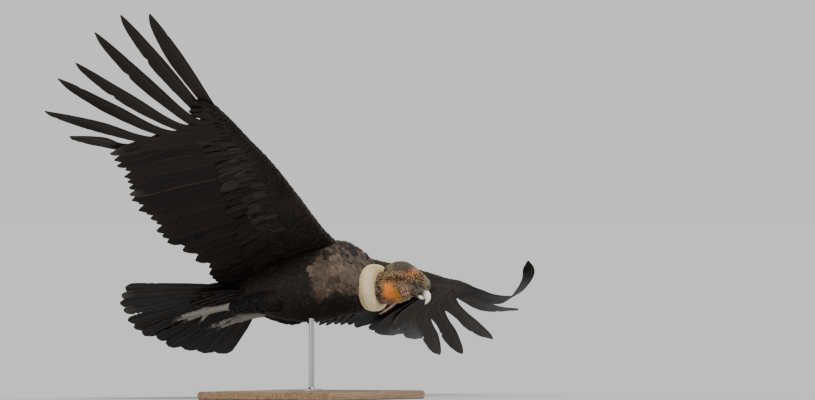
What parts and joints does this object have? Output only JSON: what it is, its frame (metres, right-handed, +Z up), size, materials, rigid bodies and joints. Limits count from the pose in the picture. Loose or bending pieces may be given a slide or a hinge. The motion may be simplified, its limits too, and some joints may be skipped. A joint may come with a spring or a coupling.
{
  "type": "andean condor",
  "caption": "Life-size adult male Andean condor soaring in a banked turn, wings and tail spread, on a flat display base with one short rod.",
  "frame": {"origin": "centre of the underside of the display base, on the floor", "axes": "+Z up, -Y the way the bird flies, +X towards the bird's left wing"},
  "size_m": [2.719, 1.1952, 1.3754],
  "materials": {
    "black_plumage": "black feathers with a soft sheen",
    "brown_plumage": "dark brown-grey body feathers",
    "white_down": "matt cream-white down",
    "bare_skin": "wrinkled bare skin, orange and brown",
    "comb_skin": "wrinkled dark comb",
    "ivory_horn": "smooth ivory horn",
    "leg_scales": "matt grey scales",
    "eye": "wet dark brown",
    "stand_wood": "oiled wood",
    "stand_steel": "brushed steel"
  },
  "bodies": {
    "root": {"torso": "brown_plumage", "right_wing_arm": "black_plumage", "right_wing_hand": "black_plumage", "left_wing_arm": "black_plumage", "left_wing_hand": "black_plumage", "tail": "black_plumage", "right_thigh": "black_plumage", "left_thigh": "black_plumage", "right_foot": "leg_scales", "left_foot": "leg_scales", "ruff": "white_down", "neck": "bare_skin", "head": "bare_skin", "comb": "comb_skin", "wattle": "comb_skin", "eye_right": "eye", "eye_left": "eye", "bill_upper": "ivory_horn", "bill_lower": "ivory_horn", "stand_base": "stand_wood", "stand_rod": "stand_steel"}
  },
  "joints": []
}
